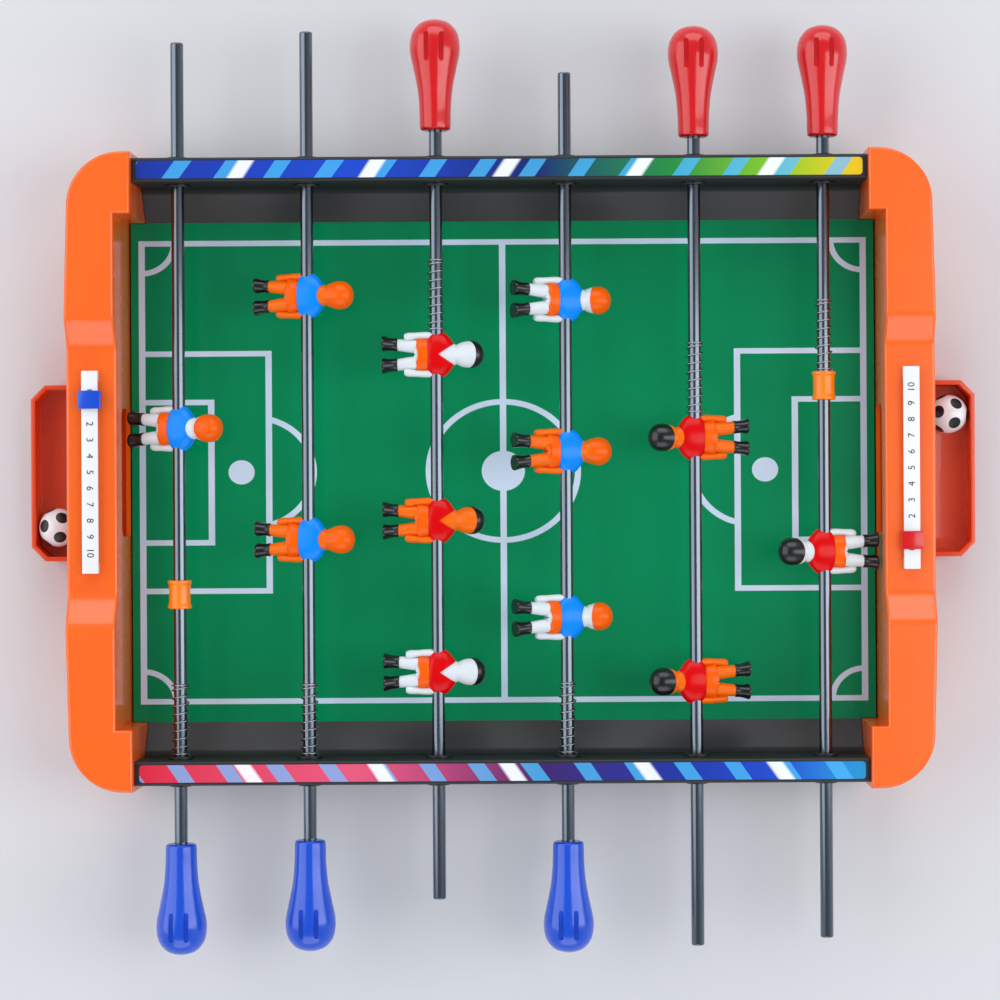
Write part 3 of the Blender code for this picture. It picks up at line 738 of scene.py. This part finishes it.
def end_wall():
    """The moulded end: rounded shell, goal mouth, ball outlet and the two tenons."""
    past = (PANEL_HIGH[0] - 20 * MM, END_HIGH[0] + 20 * MM)
    outer = finished(prism(end_outline(0), "Z", 0, END_HIGH[2] + 10 * MM), "outer")
    crown = finished(prism(end_elevation(0, -10 * MM), "X", *past), "crown")
    shell = combined(outer, crown, "INTERSECT")
    bm = bmesh.new()
    bm.from_mesh(shell)
    bmesh.ops.dissolve_limit(
        bm, angle_limit=math.radians(1), verts=bm.verts, edges=bm.edges
    )

    def rim(edge):
        up = [f.normal.z > 0.7 for f in edge.link_faces]
        return up[0] != up[1] and min(v.co.z for v in edge.verts) > DIP_HEIGHT - 5 * MM

    round_edges(bm, 2.2 * MM, 4, rim)
    shell = finished(bm, "shell")
    hollow = combined(
        finished(prism(end_outline(WALL), "Z", -5 * MM, END_HIGH[2] + 10 * MM), "hollow"),
        finished(prism(end_elevation(WALL, -5 * MM), "X", *past), "crown"),
        "INTERSECT",
    )
    shell = combined(shell, hollow)
    goal = block(
        (END_FACE - PAST, END_FACE + WALL + PAST),
        (-GOAL_HALF, GOAL_HALF),
        (BOARD_TOP + GAP, BOARD_TOP + GOAL_HEIGHT),
    )

    def goal_corner(edge):
        a, b = (v.co for v in edge.verts)
        return abs(a.x - b.x) > 1 * MM and min(a.z, b.z) > BOARD_TOP + 20 * MM

    round_edges(goal, MOUTH_ROUNDING, 6, goal_corner)
    outlet = block(
        (END_HIGH[0] - 6 * MM, END_HIGH[0] + PAST),
        (-OUTLET_HALF, OUTLET_HALF),
        (-PAST, OUTLET_HEIGHT),
    )
    round_edges(outlet, MOUTH_ROUNDING, 6, goal_corner)
    shell = combined(shell, finished(goal, "goal"))
    shell = combined(shell, finished(outlet, "outlet"))
    for side in (-1, 1):
        across = sorted((side * (WALL_IN + WALL + GAP), side * (WALL_OUT - WALL - GAP)))
        tenon = block(
            (END_LOW[0], PANEL_HIGH[0] + GAP + WALL / 2),
            across,
            (TENON_FOOT, PANEL_HIGH[2] - WALL - GAP),
        )
        shell = combined(shell, finished(round_edges(tenon, 0.5 * MM, 1), "tenon"), "UNION")
    return evened(shell, 30)


def end_walls():
    """Both end walls, the left one the right one turned about."""
    mesh = end_wall()
    turn = Matrix.Rotation(math.pi, 4, "Z")
    for end, matrix in (("right", Matrix.Identity(4)), ("left", turn)):
        node = f"end_panel_{end}"
        piece(node + "_shell", moved(mesh, matrix, node), "root", finishes["orange"], "end_panels", node)


def softened(node, width, segments=3, least=30):
    """A frame node's own shape, welded and with its edges rounded."""
    bm = bmesh.new()
    bm.from_mesh(bpy.data.objects[node].data)
    bmesh.ops.remove_doubles(bm, verts=bm.verts, dist=2e-6)
    bmesh.ops.dissolve_limit(bm, angle_limit=math.radians(0.5), verts=bm.verts, edges=bm.edges)
    round_edges(bm, width, segments, least=least)
    return finished(bm, node, recalc=False)


def trays_and_strips():
    """Ball trays, score bars with their counters, and the brace under the board."""
    for end in ("right", "left"):
        node = f"ball_tray_{end}"
        piece(node + "_shell", softened(node, 0.7 * MM), "root", finishes["tray"], "ball_trays", node)
        node = f"score_strip_{end}"
        piece(node + "_bar", softened(node, 0.5 * MM), "root", finishes["white"], "score_strips", node)
        node = f"score_slider_{end}"
        look = finishes["red" if end == "right" else "blue"]
        slot = "red_plastic" if end == "right" else "blue_plastic"
        piece(node + "_block", softened(node, 0.35 * MM), node, look, slot, node)
    piece(
        "board_brace_bar",
        softened("board_brace", 0.8 * MM),
        "root",
        finishes["black"],
        "black_panels",
        "board_brace",
    )


def score_marks():
    """Numbers 0 to 10 printed along each score bar, where the slider can stop."""
    middle = (STRIP_LOW[0] + STRIP_HIGH[0]) / 2
    top = STRIP_HIGH[2]
    first, last, height = -44.5 * MM, 44.5 * MM, 5.4 * MM
    for end, turn in (("right", 0), ("left", math.pi)):
        bm = bmesh.new()
        for count in range(11):
            text = bpy.data.curves.new("numeral", "FONT")
            text.body = str(count)
            text.size = height
            text.align_x, text.align_y = "CENTER", "CENTER"
            text.extrude = 0.03 * MM
            text.resolution_u = 4
            holder = bpy.data.objects.new("numeral", text)
            bpy.context.scene.collection.objects.link(holder)
            bpy.context.view_layer.update()
            graph = bpy.context.evaluated_depsgraph_get()
            numeral = bpy.data.meshes.new_from_object(holder.evaluated_get(graph))
            bpy.data.objects.remove(holder)
            along = first + (last - first) * count / 10
            place = Matrix.Translation((middle, along, top + 0.03 * MM))
            numeral.transform(
                Matrix.Rotation(turn, 4, "Z") @ place @ Matrix.Rotation(math.pi / 2, 4, "Z")
            )
            bm.from_mesh(numeral)
        mesh = finished(bm, "score_numerals", recalc=False)
        piece(f"score_numerals_{end}", mesh, "root", finishes["ink"], "score_strips")


# ---------------------------------------------------------------- rods


def rods_and_fittings():
    """Each rod with its rounded ends, and what turns, slides or presses on it."""
    for number, (team, (x, height)) in enumerate(zip(TEAMS, rod_lines()), 1):
        body = f"rod_{number}_set"
        side = 1 if team == RED else -1
        here = Matrix.Translation((x, 0, height))
        low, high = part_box(f"rod_{number}")
        radius, chamfer = (high[0] - low[0]) / 2, 0.9 * MM
        profile = [(low[1], 0), (low[1], radius - chamfer)]
        profile += [
            (
                low[1] + chamfer * (1 - math.cos(a)),
                radius - chamfer + chamfer * math.sin(a),
            )
            for a in (math.pi / 2 * i / 5 for i in range(1, 6))
        ]
        profile += [
            (high[1] - chamfer * (1 - math.sin(a)), radius - chamfer + chamfer * math.cos(a))
            for a in (math.pi / 2 * i / 5 for i in range(6))
        ]
        profile.append((high[1], 0))
        mesh = finished(turned(profile, 48), "rod")
        mesh.transform(here)
        node = f"rod_{number}"
        piece(node + "_bar", mesh, body, finishes["chrome"], "chrome_rods", node)
        handle(number, team, side, here, body)
        for wall, turn in ((RED, 0), (BLUE, math.pi)):
            node = f"bushing_{number}_{wall}_side"
            mesh = moved(bushing_mesh(), here @ Matrix.Rotation(turn, 4, "Z"), node)
            piece(node + "_liner", mesh, f"rod_{number}_bushings", finishes["nylon"], "bushings", node)
        collar(number, here, body)
        spring(number, team, here, body)


def handle(number, team, side, here, body):
    """A drop-shaped grip: slim at the rod, full at the outer end, with two finger grooves above and below."""
    node = f"handle_{number}"
    low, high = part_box(node)
    start, end = (low[1], high[1]) if side > 0 else (-high[1], -low[1])
    length, bulb = end - start, (high[0] - low[0]) / 2
    bore, grip_depth = 4.0 * MM, 32 * MM
    outer = eased(
        (
            (start + 0.4 * MM, 7.9 * MM),
            (start + 2.0 * MM, 8.6 * MM),
            (start + 0.20 * length, 8.9 * MM),
            (start + 0.38 * length, 9.9 * MM),
            (start + 0.56 * length, 12.1 * MM),
            (start + 0.72 * length, bulb),
            (start + 0.86 * length, bulb - 0.9 * MM),
            (start + 0.95 * length, bulb - 4.6 * MM),
            (start + 0.99 * length, bulb - 9.5 * MM),
            (end, 0),
        ),
        5,
    )
    grip = start + grip_depth
    profile = [(grip, 0), (grip, bore), (start, bore), (start, 7.2 * MM)] + outer
    mesh = finished(turned(profile, 56), "handle")
    # Two shallow rounded slots side by side on the upper and the lower face of the bulb
    for face in (-1, 1):
        for offset in (-4.2 * MM, 4.2 * MM):
            slot = block(
                (offset - 1.3 * MM, offset + 1.3 * MM),
                (start + 0.60 * length, start + 0.86 * length),
                sorted((face * (bulb - 2.4 * MM), face * (bulb + 4 * MM))),
            )
            round_edges(slot, 1.25 * MM, 4, lambda e: abs(e.verts[0].co.z - e.verts[1].co.z) > 1 * MM)
            mesh = combined(mesh, finished(slot, "slot"))
    mesh.shade_smooth()
    mesh.set_sharp_from_angle(angle=math.radians(35))
    turn = Matrix.Identity(4) if side > 0 else Matrix.Rotation(math.pi, 4, "Z")
    mesh.transform(here @ turn)
    piece(node + "_grip", mesh, body, finishes[team], f"{team}_plastic", node)


def bushing_mesh():
    """A flanged liner at +Y with a lead-in at its bore."""
    low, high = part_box("bushing_1_red_side")
    bore, barrel, flange, snap = 3.95 * MM, 5.5 * MM, 7.0 * MM, 6.6 * MM
    inner, outer = low[1], high[1]
    profile = (
        (inner + 0.4 * MM, bore),
        (inner, bore + 0.4 * MM),
        (inner, flange - 0.3 * MM),
        (inner + 0.3 * MM, flange),
        (WALL_IN - GAP, flange),
        (WALL_IN - GAP, barrel),
        (WALL_OUT + GAP, barrel),
        (WALL_OUT + GAP, snap),
        (outer - 0.5 * MM, snap),
        (outer, snap - 0.5 * MM),
        (outer, bore + 0.4 * MM),
        (outer - 0.4 * MM, bore),
    )
    return finished(turned(profile, 40, closed=True), "bushing")


def collar(number, here, body):
    """The stop beside the goalkeeper: a waisted ring with rolled lips."""
    node = f"collar_{number}"
    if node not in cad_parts:
        return
    low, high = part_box(node)
    half, middle = (high[1] - low[1]) / 2, (high[1] + low[1]) / 2
    bore, lip = 3.9 * MM, (high[0] - low[0]) / 2
    profile = [(-half, bore), (-half, lip - 0.5 * MM)]
    profile += eased(
        (
            (-half + 0.4 * MM, lip),
            (-half + 1.6 * MM, lip),
            (-half + 2.6 * MM, lip - 0.5 * MM),
            (0, lip - 0.7 * MM),
            (half - 2.6 * MM, lip - 0.5 * MM),
            (half - 1.6 * MM, lip),
            (half - 0.4 * MM, lip),
        ),
        4,
    )
    profile += [(half, lip - 0.5 * MM), (half, bore)]
    mesh = finished(turned(profile, 48, closed=True), "collar")
    mesh.transform(here @ Matrix.Translation((0, middle, 0)))
    piece(node + "_ring", mesh, body, finishes["collar"], "collars", node)


def spring(number, team, here, body):
    """A compression spring with closed ends: one circle of wire spun along the rod."""
    node = f"spring_{number}"
    low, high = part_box(node)
    coil, wire, turns, steps = 4.6 * MM, 0.42 * MM, 10, 30
    length = high[1] - low[1] - 2 * wire
    closed = 2 * wire + 0.05 * MM
    active = (length - 2 * closed) / (turns - 2)
    bm = bmesh.new()
    ring = bmesh.ops.create_circle(bm, cap_ends=False, radius=wire, segments=10)["verts"]
    bmesh.ops.rotate(bm, matrix=Matrix.Rotation(math.pi, 3, "X"), verts=ring)
    bmesh.ops.translate(bm, vec=(coil, 0, 0), verts=ring)
    geom = ring + list({e for v in ring for e in v.link_edges})
    bmesh.ops.contextual_create(bm, geom=ring)
    for pitch, count in ((closed, 1), (active, turns - 2), (closed, 1)):
        spun = bmesh.ops.spin(
            bm,
            geom=geom,
            cent=(0, 0, 0),
            axis=(0, 1, 0),
            dvec=(0, pitch / steps, 0),
            angle=math.tau * count,
            steps=steps * count,
        )
        geom = [g for g in spun["geom_last"] if not isinstance(g, bmesh.types.BMFace)]
    bmesh.ops.contextual_create(bm, geom=[g for g in geom if isinstance(g, bmesh.types.BMVert)])
    mesh = finished(bm, "spring", sharp=60)
    mesh.transform(here @ Matrix.Translation((0, low[1] + wire, 0)))
    owner = body if team == RED else "root"
    obj = piece(node + "_coil", mesh, owner, finishes["spring"], "spring_steel", node)
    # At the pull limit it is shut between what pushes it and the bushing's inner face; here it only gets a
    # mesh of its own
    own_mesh(obj)


# ---------------------------------------------------------------- players


def loft(sections, segments=28):
    """A closed body through oval sections in mm: height, half width, half depth, side, forward, tilt."""
    bm = bmesh.new()
    loops = []
    for height, wide, deep, side, forward, *tilt in sections:
        ring = bmesh.ops.create_circle(bm, cap_ends=False, radius=1, segments=segments)["verts"]
        bmesh.ops.scale(bm, vec=(deep * MM, wide * MM, 1), verts=ring)
        turn = Matrix.Rotation(math.radians(-sum(tilt)), 3, "Y")
        bmesh.ops.rotate(bm, matrix=turn, verts=ring)
        bmesh.ops.translate(bm, vec=(forward * MM, side * MM, height * MM), verts=ring)
        loops.append(list({e for v in ring for e in v.link_edges}))
    for a, b in zip(loops, loops[1:]):
        bmesh.ops.bridge_loops(bm, edges=a + b)
    for loop in (loops[0], loops[-1]):
        cap = bmesh.ops.contextual_create(bm, geom=loop)["faces"]
        bmesh.ops.inset_region(bm, faces=cap, thickness=0.5 * MM, use_even_offset=True)
    bmesh.ops.recalc_face_normals(bm, faces=bm.faces)
    return applied(finished(bm, "loft"), "SUBSURF", levels=1, render_levels=1)


def front_cutter(outline, depth):
    """A prism with an outline of (side, height) in mm, through a stretch of depth."""
    bm = prism([(y * MM, z * MM) for y, z in outline], "X", depth[0] * MM, depth[1] * MM)
    return finished(bm, "cutter")


def egg(start, grow):
    """A head turned from its profile, widest near the crown; grow sets the hair off from it."""
    profile = eased(
        (
            (start, 4.6 + grow),
            (10.8, 5.3 + grow),
            (13.4, 6.6 + grow),
            (16.4, 7.35 + grow),
            (19.4, 7.55 + grow),
            (22.3, 6.9 + grow),
            (24.6, 5.2 + grow),
            (25.9, 3.0 + grow),
            (26.4 + grow, 0),
        ),
        4,
    )
    bm = turned([(start * MM, 0)] + [(along * MM, out * MM) for along, out in profile], 40)
    bmesh.ops.rotate(bm, matrix=Matrix.Rotation(math.pi / 2, 3, "X"), verts=bm.verts)
    bmesh.ops.scale(bm, vec=(0.96, 1, 1), verts=bm.verts)
    bmesh.ops.remove_doubles(bm, verts=bm.verts, dist=1e-6)
    return bm


def hair_mesh():
    """A moulded cap: the whole back of the head and the crown, cut on a slope to the forehead."""
    bm = egg(9.6, 0.25)
    cut = bmesh.ops.bisect_plane(
        bm,
        geom=bm.verts[:] + bm.edges[:] + bm.faces[:],
        plane_co=(-7.3 * MM, 0, 11.6 * MM),
        plane_no=(0.61, 0, -0.79),
        clear_outer=True,
    )
    rim = [g for g in cut["geom_cut"] if isinstance(g, bmesh.types.BMEdge)]
    bmesh.ops.contextual_create(bm, geom=rim)
    return finished(bm, "hair")


def player_mesh():
    """One player standing on Z, the rod through it along Y, facing +X; materials by part."""
    # Broad short sleeves are one mass with the shirt; the shorts flare to their lower edge
    shirt = loft(
        (
            (-4.8, 8.8, 5.6, 0, 0),
            (-4.5, 9.6, 5.9, 0, 0),
            (-3.9, 10.8, 6.1, 0, 0),
            (-2.9, 12.4, 6.2, 0, 0.1),
            (-1.6, 13.0, 6.3, 0, 0.1),
            (0.6, 13.0, 6.4, 0, 0.2),
            (3.6, 12.8, 6.4, 0, 0.2),
            (6.2, 11.0, 6.1, 0, 0.1),
            (8.2, 8.4, 5.5, 0, 0),
            (9.4, 6.6, 4.8, 0, 0),
            (10.0, 5.6, 4.1, 0, 0),
        ),
        44,
    )
    shirt = combined(shirt, front_cutter(((0, 1.2), (6.9, 11.4), (-6.9, 11.4)), (1.5, 12)))
    scoop = [
        (6.6 * math.cos(a), 11.6 + 4.6 * math.sin(a)) for a in (math.tau * i / 32 for i in range(32))
    ]
    shirt = combined(shirt, front_cutter(scoop, (-12, -1.5)))
    chest = loft(
        (
            (-4.0, 8.0, 5.0, 0, 0),
            (0.8, 10.2, 5.8, 0, 0.2),
            (4.0, 10.0, 5.9, 0, 0.2),
            (6.6, 7.8, 5.7, 0, 0.1),
            (8.6, 6.5, 5.4, 0, 0),
            (10.4, 5.8, 5.1, 0, 0),
            (12.2, 5.2, 4.8, 0, 0),
            (13.0, 4.6, 4.2, 0, 0),
        ),
        36,
    )
    shorts = loft(
        (
            (-4.0, 8.2, 5.2, 0, 0),
            (-4.9, 8.8, 5.6, 0, 0),
            (-8.0, 9.2, 5.9, 0, 0),
            (-10.2, 9.5, 5.9, 0, 0),
            (-11.2, 9.2, 5.5, 0, 0),
        ),
        40,
    )
    notch = [
        (4.6 * math.cos(a), -12.4 + 2.3 * math.sin(a)) for a in (math.tau * i / 32 for i in range(32))
    ]
    shorts = combined(shorts, front_cutter(notch, (-9, 9)))
    hips = loft(
        ((-6.0, 8.4, 4.6, 0, 0), (-10.5, 8.3, 4.6, 0, 0), (-12.4, 7.6, 4.2, 0, 0)), 32
    )
    hips = combined(hips, front_cutter(((-1.3, -14.5), (1.3, -14.5), (0, -11.2)), (-9, 9)))
    parts = [(shirt, 0), (chest, 1), (shorts, 2), (hips, 1)]
    for side in (-1, 1):
        arm = loft(
            (
                (2.4, 1.6, 2.6, side * 9.0, 0),
                (-1.0, 2.3, 3.1, side * 10.2, 0.1),
                (-4.5, 2.25, 3.0, side * 10.6, 0.2),
                (-8.0, 2.0, 2.7, side * 10.7, 0.4),
                (-11.5, 1.9, 2.5, side * 10.4, 0.8),
                (-14.2, 2.3, 2.8, side * 10.1, 1.1),
                (-16.6, 2.4, 2.9, side * 9.9, 1.3),
                (-18.0, 1.6, 2.1, side * 9.8, 1.3),
            ),
            22,
        )
        leg = loft(
            (
                (-9.5, 3.7, 4.4, side * 4.6, 0),
                (-12.5, 3.8, 4.3, side * 4.6, 0),
                (-16.0, 3.65, 4.1, side * 4.9, -0.1),
                (-19.5, 3.4, 3.7, side * 5.3, -0.2),
                (-22.4, 3.3, 3.5, side * 5.5, -0.2),
            ),
            26,
        )
        # A rolled sock edge, the ankle, and the boot that flares to its sole
        boot = loft(
            (
                (-21.7, 3.4, 3.6, side * 5.5, -0.2),
                (-22.0, 3.8, 4.0, side * 5.5, -0.2),
                (-22.7, 3.7, 4.0, side * 5.6, -0.1),
                (-23.6, 3.5, 3.9, side * 5.7, 0),
                (-25.8, 3.6, 4.5, side * 5.9, 0.4),
                (-28.0, 4.0, 5.7, side * 6.1, 1.1),
                (-29.4, 4.5, 6.4, side * 6.3, 1.5),
                (-30.3, 4.4, 6.3, side * 6.3, 1.5),
            ),
            26,
        )
        parts += [(arm, 1), (leg, 1), (boot, 3)]
    parts += [(finished(egg(8.8, 0.0), "head"), 1), (hair_mesh(), 4)]
    bm = bmesh.new()
    for mesh, slot in parts:
        before = len(bm.faces)
        bm.from_mesh(mesh)
        bm.faces.ensure_lookup_table()
        for face in bm.faces[before:]:
            face.material_index = slot
    mesh = bpy.data.meshes.new("player")
    bm.to_mesh(mesh)
    bm.free()
    mesh.shade_smooth()
    mesh.set_sharp_from_angle(angle=math.radians(40))
    return mesh


def players():
    """The twelve players, turned as their rods stand at rest."""
    mesh = player_mesh()
    for node in sorted(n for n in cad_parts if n.startswith("player_")):
        number = int(node.split("_")[1])
        team = TEAMS[number - 1]
        down = HEADS[number - 1] * math.radians(90 - LIFTS[number - 1])
        x, height = rod_lines()[number - 1]
        low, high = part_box(node)
        facing = math.pi if team == RED else 0
        matrix = (
            Matrix.Translation((x, (low[1] + high[1]) / 2, height))
            @ Matrix.Rotation(down, 4, "Y")
            @ Matrix.Rotation(facing, 4, "Z")
        )
        skin = finishes["skin_white" if node in WHITE_MOULDED else "skin_orange"]
        hair = finishes["orange_enamel" if team == BLUE else "black_enamel"]
        looks = [
            finishes[f"{team}_enamel"], skin, finishes["orange_enamel"], finishes["black_enamel"], hair
        ]
        indices = [p.material_index for p in mesh.polygons]
        made = moved(mesh, matrix, node)
        obj = piece(node + "_figure", made, f"rod_{number}_set", looks, f"{team}_team", node)
        obj.data.polygons.foreach_set("material_index", indices)


def balls():
    """Gloss white balls with twelve round black patches printed on them."""
    for end in ("right", "left"):
        node = f"ball_{end}"
        low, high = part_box(node)
        centre = [(a + b) / 2 for a, b in zip(low, high)]
        bm = bmesh.new()
        bmesh.ops.create_icosphere(bm, subdivisions=1, radius=1)
        poles = [v.co.normalized() for v in bm.verts]
        bm.free()
        bm = bmesh.new()
        bmesh.ops.create_icosphere(bm, subdivisions=6, radius=11 * MM)
        for face in bm.faces:
            out = face.calc_center_median().normalized()
            nearest = max(out.dot(pole) for pole in poles)
            face.material_index = 1 if nearest > math.cos(math.radians(19)) else 0
        mesh = finished(bm, "ball")
        mesh.transform(Matrix.Translation(centre) @ Matrix.Rotation(0.6, 4, (1, 0.4, 0.2)))
        indices = [p.material_index for p in mesh.polygons]
        obj = piece(node + "_shell", mesh, node, [finishes["white"], finishes["ink"]], "balls", node)
        obj.data.polygons.foreach_set("material_index", indices)


# ---------------------------------------------------------------- camera, light, floor


def camera():
    """Straight above the pitch, the lens a little to the right of its middle."""
    rod_height = rod_lines()[0][1]
    distance, seen = 1.53, 0.558  # from the rods, and the width seen at their height
    data = bpy.data.cameras.new("camera")
    data.sensor_width = 36
    data.lens = 36 * distance / seen
    obj = bpy.data.objects.new("camera", data)
    bpy.context.scene.collection.objects.link(obj)
    # The shift brings the frame back over the middle
    turn, aside = math.radians(-0.33), 45 * MM
    place = Vector((-2.0 * MM, -16.6 * MM)) + aside * Vector((math.cos(turn), math.sin(turn)))
    data.shift_x = -aside / (seen * (distance + rod_height - BOARD_TOP) / distance)
    obj.location = (*place, rod_height + distance)
    obj.rotation_euler = (0, 0, turn)
    bpy.context.scene.camera = obj


def lamp(name, place, aim, size, power):
    """A white rectangular lamp that points at a place."""
    data = bpy.data.lights.new(name, "AREA")
    data.shape = "RECTANGLE"
    data.size, data.size_y = size
    data.energy = power
    obj = bpy.data.objects.new(name, data)
    bpy.context.scene.collection.objects.link(obj)
    obj.location = place
    obj.rotation_euler = (Vector(aim) - Vector(place)).to_track_quat("-Z", "Y").to_euler()


def studio():
    """Large soft lamps round a dark ceiling, over a pale floor."""
    world = bpy.data.worlds.new("studio")
    world.use_nodes = True
    tree = world.node_tree
    way = add(tree, "ShaderNodeTexCoord").outputs["Generated"]
    height = add(tree, "ShaderNodeSeparateXYZ", {"Vector": way}).outputs["Z"]
    glow = add(
        tree,
        "ShaderNodeMapRange",
        {"Value": height, "From Min": 0.15, "From Max": 0.9, "To Min": 0.7, "To Max": 0.3},
    )
    ground = tree.nodes["Background"]
    ground.inputs["Color"].default_value = linear("E6EAF2")
    tree.links.new(glow.outputs["Result"], ground.inputs["Strength"])
    bpy.context.scene.world = world
    table = (0, 0, 0.04)
    lamp("strip", (1.2, -0.05, 1.15), table, (0.75, 1.9), 13)
    lamp("soft_left", (-1.5, 0.25, 1.1), table, (2.0, 2.0), 20)
    lamp("soft_back", (0.1, 1.6, 1.0), table, (1.9, 1.2), 15)
    lamp("soft_front", (0.0, -1.55, 0.95), table, (1.9, 1.2), 11)
    bm = bmesh.new()
    bmesh.ops.create_grid(bm, x_segments=1, y_segments=1, size=4)
    mesh = finished(bm, "floor")
    floor = bpy.data.objects.new("floor", mesh)
    bpy.context.scene.collection.objects.link(floor)
    paint = shader_of("pale_floor", Base_Color=linear("D2D4D8"), Roughness=0.7)[0]
    mesh.materials.append(paint)
    # Colours as printed, without a film curve
    bpy.context.scene.view_settings.view_transform = "Standard"


finishes = make_materials()
camera()
studio()
bpy.data.objects["pitch_board"].data.materials.clear()
bpy.data.objects["pitch_board"].data.materials.append(finishes["print"])
pitch_lines()
side_walls()
end_walls()
trays_and_strips()
score_marks()
rods_and_fittings()
players()
balls()
